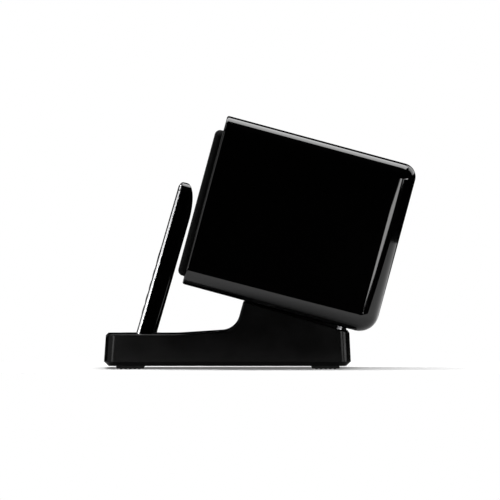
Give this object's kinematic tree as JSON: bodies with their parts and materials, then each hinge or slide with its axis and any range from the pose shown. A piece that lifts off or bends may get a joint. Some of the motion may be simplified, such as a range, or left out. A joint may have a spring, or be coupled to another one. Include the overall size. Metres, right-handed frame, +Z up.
{
  "type": "cordless phone with charging base and loudspeaker",
  "caption": "Slim cordless handset leaning in a charging cradle, with a large tilted loudspeaker housing on the neck of its low base.",
  "frame": {"origin": "bottom centre of the whole object's box: the feet stand on Z = 0", "axes": "+Z up, -Y towards the front where the handset stands, +X to the right of a user who faces that front"},
  "size_m": [0.156, 0.2172, 0.1766],
  "materials": {
    "base_plastic": "fine satin moulding",
    "rubber": "matt",
    "screw_steel": "zinc plated",
    "steel_plate": "plain sheet",
    "circuit_board": "solder resist",
    "board_parts": "moulded packages and cans",
    "inner_plastic": "plain moulded",
    "contact_metal": "gold plated",
    "light_lens": "frosted",
    "post_chrome": "polished",
    "gloss_shell": "piano black",
    "grille_cloth": "fine woven mesh",
    "magnet_iron": "dark ferrite and steel",
    "cone_paper": "coated paper",
    "coil_copper": "enamelled copper winding",
    "battery_wrap": "shrink film",
    "bezel_metal": "polished",
    "cover_glass": "gloss black panel",
    "display_glass": "dark display",
    "key_plastic": "satin keys"
  },
  "bodies": {
    "base": {"base_shell": "base_plastic", "base_plate": "base_plastic", "base_feet": "rubber", "base_screws": "screw_steel", "ballast_plate": "steel_plate", "base_board": "circuit_board", "base_board_parts": "board_parts", "power_socket": "inner_plastic", "line_socket": "inner_plastic", "cradle_insert": "base_plastic", "cradle_contacts": "inner_plastic", "status_light": "light_lens", "locate_switch": "board_parts", "seat_pad": "rubber", "seat_posts": "post_chrome", "seat_contacts": "inner_plastic"},
    "handset": {"handset_back": "gloss_shell", "handset_bezel": "bezel_metal", "front_cover": "cover_glass", "display_module": "display_glass", "handset_board": "circuit_board", "handset_board_parts": "board_parts", "handset_battery": "battery_wrap", "earpiece": "inner_plastic", "charge_plates": "contact_metal", "keypad_mat": "rubber"},
    "speaker": {"speaker_shell": "gloss_shell", "speaker_baffle": "inner_plastic", "baffle_screws": "screw_steel", "grille_frame": "inner_plastic", "grille_mesh": "grille_cloth", "driver_basket": "steel_plate", "driver_magnet": "magnet_iron", "driver_surround": "rubber", "driver_screws": "screw_steel", "amp_board": "circuit_board", "amp_board_parts": "board_parts", "speaker_battery": "battery_wrap", "contact_pads": "contact_metal"},
    "cone": {"driver_cone": "cone_paper", "dust_cap": "cone_paper", "voice_coil": "coil_copper"},
    "volume_rocker": {"volume_rocker": "bezel_metal"},
    "locate_key": {"locate_key": "base_plastic"},
    "key_star": {"key_star": "key_plastic"},
    "key_0": {"key_0": "key_plastic"},
    "key_hash": {"key_hash": "key_plastic"},
    "key_7": {"key_7": "key_plastic"},
    "key_8": {"key_8": "key_plastic"},
    "key_9": {"key_9": "key_plastic"},
    "key_4": {"key_4": "key_plastic"},
    "key_5": {"key_5": "key_plastic"},
    "key_6": {"key_6": "key_plastic"},
    "key_1": {"key_1": "key_plastic"},
    "key_2": {"key_2": "key_plastic"},
    "key_3": {"key_3": "key_plastic"},
    "talk_key": {"talk_key": "key_plastic"},
    "end_key": {"end_key": "key_plastic"},
    "nav_key": {"nav_key": "key_plastic"}
  },
  "joints": [
    {"name": "handset_lift", "type": "slide", "parent": "base", "child": "handset", "axis": [0, 0.2773, 0.9608], "range_m": [0, 0.03]},
    {"name": "speaker_lift", "type": "slide", "parent": "base", "child": "speaker", "axis": [0, 0.2605, 0.9655], "range_m": [0, 0.03]},
    {"name": "cone_travel", "type": "slide", "parent": "speaker", "child": "cone", "axis": [0, 0.9655, -0.2605], "range_m": [-0.001, 0.001], "stiffness_N_per_m": 1500},
    {"name": "volume_rock", "type": "hinge", "parent": "handset", "child": "volume_rocker", "pos_m": [-0.0262, -0.0567, 0.10347], "axis": [0, 0.9608, -0.2773], "range_deg": [-2, 2], "stiffness_Nm_per_rad": 0.02},
    {"name": "locate_press", "type": "slide", "parent": "base", "child": "locate_key", "axis": [0, 0, -1], "range_m": [0, 0.0006], "stiffness_N_per_m": 1200, "springref_m": -0.0002},
    {"name": "key_star_press", "type": "slide", "parent": "handset", "child": "key_star", "axis": [0, 0.9608, -0.2773], "range_m": [0, 0.0005], "stiffness_N_per_m": 900, "springref_m": -0.0002},
    {"name": "key_0_press", "type": "slide", "parent": "handset", "child": "key_0", "axis": [0, 0.9608, -0.2773], "range_m": [0, 0.0005], "stiffness_N_per_m": 900, "springref_m": -0.0002},
    {"name": "key_hash_press", "type": "slide", "parent": "handset", "child": "key_hash", "axis": [0, 0.9608, -0.2773], "range_m": [0, 0.0005], "stiffness_N_per_m": 900, "springref_m": -0.0002},
    {"name": "key_7_press", "type": "slide", "parent": "handset", "child": "key_7", "axis": [0, 0.9608, -0.2773], "range_m": [0, 0.0005], "stiffness_N_per_m": 900, "springref_m": -0.0002},
    {"name": "key_8_press", "type": "slide", "parent": "handset", "child": "key_8", "axis": [0, 0.9608, -0.2773], "range_m": [0, 0.0005], "stiffness_N_per_m": 900, "springref_m": -0.0002},
    {"name": "key_9_press", "type": "slide", "parent": "handset", "child": "key_9", "axis": [0, 0.9608, -0.2773], "range_m": [0, 0.0005], "stiffness_N_per_m": 900, "springref_m": -0.0002},
    {"name": "key_4_press", "type": "slide", "parent": "handset", "child": "key_4", "axis": [0, 0.9608, -0.2773], "range_m": [0, 0.0005], "stiffness_N_per_m": 900, "springref_m": -0.0002},
    {"name": "key_5_press", "type": "slide", "parent": "handset", "child": "key_5", "axis": [0, 0.9608, -0.2773], "range_m": [0, 0.0005], "stiffness_N_per_m": 900, "springref_m": -0.0002},
    {"name": "key_6_press", "type": "slide", "parent": "handset", "child": "key_6", "axis": [0, 0.9608, -0.2773], "range_m": [0, 0.0005], "stiffness_N_per_m": 900, "springref_m": -0.0002},
    {"name": "key_1_press", "type": "slide", "parent": "handset", "child": "key_1", "axis": [0, 0.9608, -0.2773], "range_m": [0, 0.0005], "stiffness_N_per_m": 900, "springref_m": -0.0002},
    {"name": "key_2_press", "type": "slide", "parent": "handset", "child": "key_2", "axis": [0, 0.9608, -0.2773], "range_m": [0, 0.0005], "stiffness_N_per_m": 900, "springref_m": -0.0002},
    {"name": "key_3_press", "type": "slide", "parent": "handset", "child": "key_3", "axis": [0, 0.9608, -0.2773], "range_m": [0, 0.0005], "stiffness_N_per_m": 900, "springref_m": -0.0002},
    {"name": "talk_key_press", "type": "slide", "parent": "handset", "child": "talk_key", "axis": [0, 0.9608, -0.2773], "range_m": [0, 0.0005], "stiffness_N_per_m": 900, "springref_m": -0.0002},
    {"name": "end_key_press", "type": "slide", "parent": "handset", "child": "end_key", "axis": [0, 0.9608, -0.2773], "range_m": [0, 0.0005], "stiffness_N_per_m": 900, "springref_m": -0.0002},
    {"name": "nav_key_press", "type": "slide", "parent": "handset", "child": "nav_key", "axis": [0, 0.9608, -0.2773], "range_m": [0, 0.0005], "stiffness_N_per_m": 900, "springref_m": -0.0002}
  ]
}
